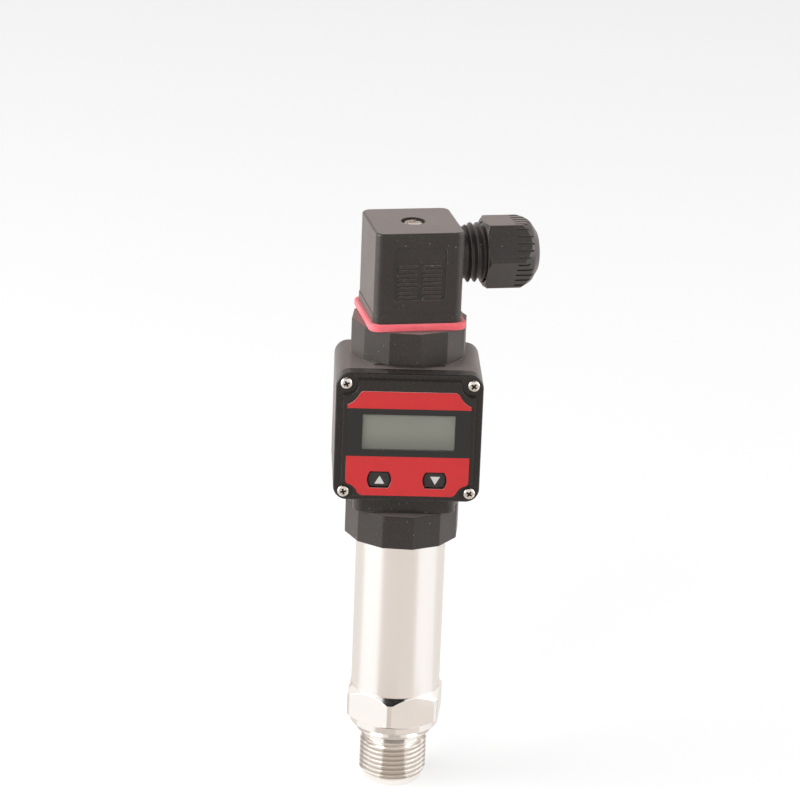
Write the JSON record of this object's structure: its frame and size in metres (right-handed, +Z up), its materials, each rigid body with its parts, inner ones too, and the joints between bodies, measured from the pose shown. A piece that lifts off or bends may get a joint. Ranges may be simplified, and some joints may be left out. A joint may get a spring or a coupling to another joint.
{
  "type": "pressure transmitter",
  "caption": "Threaded steel pressure transmitter with a swivelling two-key display head under a square valve plug and its cable gland.",
  "frame": {"origin": "centre of the pressure port's mouth, on the end face of the threaded stem", "axes": "+Z up the tube, away from the process; the display faces -Y; +X is to the right of a person who reads the display"},
  "size_m": [0.0581, 0.0391, 0.1749],
  "materials": {
    "stainless": "turned and milled stainless steel, warm grey, bright",
    "satin_tube": "satin stainless tube, fine turning lines",
    "capsule_steel": "fine turned stainless",
    "black_nylon": "fine-grained black glass-filled nylon",
    "grey_plastic": "moulded dark grey plastic",
    "key_plastic": "smooth black plastic, white triangle",
    "printed_foil": "printed foil, red above and below, black between",
    "clear_pane": "clear acrylic",
    "display_glass": "grey-green liquid crystal display",
    "circuit_board": "green solder mask",
    "tinned_contact": "tinned brass",
    "brass": "turned brass",
    "nickel_screw": "nickel-plated steel",
    "red_silicone": "translucent pink-red silicone",
    "black_rubber": "black rubber"
  },
  "bodies": {
    "transmitter": {"process_fitting": "stainless", "sensor_oring": "black_rubber", "sensor_capsule": "capsule_steel", "clamp_ring": "stainless", "signal_board": "circuit_board", "body_tube": "satin_tube", "lower_collar": "black_nylon", "collar_oring": "black_rubber", "lower_blades": "tinned_contact", "lower_insert": "brass", "head_core": "black_nylon", "socket_insert": "grey_plastic", "head_screw": "nickel_screw", "upper_collar": "black_nylon", "upper_blades": "tinned_contact", "upper_insert": "brass"},
    "display_head": {"display_housing": "black_nylon", "lid_seal": "red_silicone", "bezel_lid": "black_nylon", "front_label": "printed_foil", "window_pane": "clear_pane", "lcd_module": "display_glass", "display_board": "circuit_board", "tact_switches": "grey_plastic", "lid_screws": "nickel_screw"},
    "up_key": {"key_up": "key_plastic"},
    "down_key": {"key_down": "key_plastic"},
    "plug": {"plug_gasket": "red_silicone", "plug_housing": "black_nylon", "terminal_block": "grey_plastic", "wire_clamps": "brass", "terminal_screws": "nickel_screw", "screw_seal": "black_rubber", "gland_grommet": "black_rubber"},
    "centre_screw": {"plug_screw": "nickel_screw"},
    "gland_thrust": {"gland_washer": "black_nylon"},
    "gland_cap": {"gland_nut": "black_nylon"}
  },
  "joints": [
    {"name": "head_swivel", "type": "hinge", "parent": "transmitter", "child": "display_head", "pos_m": [0, 0, 0.1131], "axis": [0, 0, 1], "range_deg": [-165, 165]},
    {"name": "up_key_press", "type": "slide", "parent": "display_head", "child": "up_key", "axis": [0, 1, 0], "range_m": [0, 0.0006], "stiffness_N_per_m": 500},
    {"name": "down_key_press", "type": "slide", "parent": "display_head", "child": "down_key", "axis": [0, 1, 0], "range_m": [0, 0.0006], "stiffness_N_per_m": 500},
    {"name": "plug_lift", "type": "slide", "parent": "transmitter", "child": "plug", "axis": [0, 0, 1], "range_m": [0, 0.03]},
    {"name": "centre_screw_turn", "type": "hinge", "parent": "plug", "child": "centre_screw", "pos_m": [0, 0, 0.165], "axis": [0, 0, 1], "continuous": true},
    {"name": "gland_thrust_slide", "type": "slide", "parent": "plug", "child": "gland_thrust", "axis": [0.9877, 0.1564, 0], "range_m": [0, 0.004]},
    {"name": "gland_nut_turn", "type": "hinge", "parent": "gland_thrust", "child": "gland_cap", "pos_m": [0.02756, 0.00436, 0.1651], "axis": [0.9877, 0.1564, 0], "range_deg": [0, 720]}
  ],
  "couplings": [
    {"joint": "gland_nut_turn", "follows": "gland_thrust_slide", "rad_per_m": 3141.5}
  ]
}
